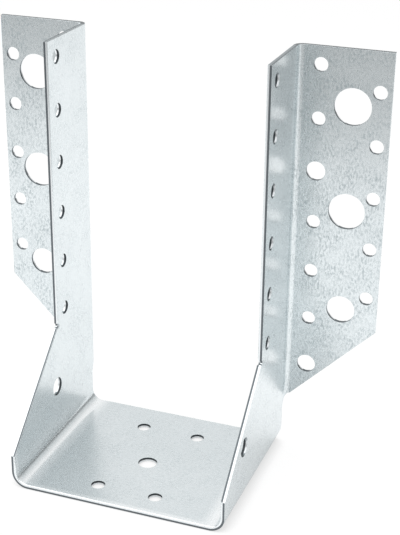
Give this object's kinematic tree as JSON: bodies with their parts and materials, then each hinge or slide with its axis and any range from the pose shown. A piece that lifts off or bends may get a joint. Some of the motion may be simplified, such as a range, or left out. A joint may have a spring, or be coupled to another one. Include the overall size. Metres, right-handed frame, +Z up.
{
  "type": "joist hanger",
  "caption": "Face-fixed joist hanger folded from galvanised steel sheet: a seat and upright walls with gussets hold a joist, and flanges with nail and bolt holes fix to the header.",
  "frame": {"origin": "under the middle of the part's width and depth, at the level of the seat's underside", "axes": "+Z up along the walls, +Y towards the header, +X to the right seen from the joist's side"},
  "size_m": [0.189, 0.09, 0.198],
  "materials": {
    "galvanised_sheet": "hot-dip galvanised sheet, fine mottled zinc with faint rolling streaks, bare sheared edges"
  },
  "bodies": {
    "root": {"joist_hanger": "galvanised_sheet"}
  },
  "joints": []
}
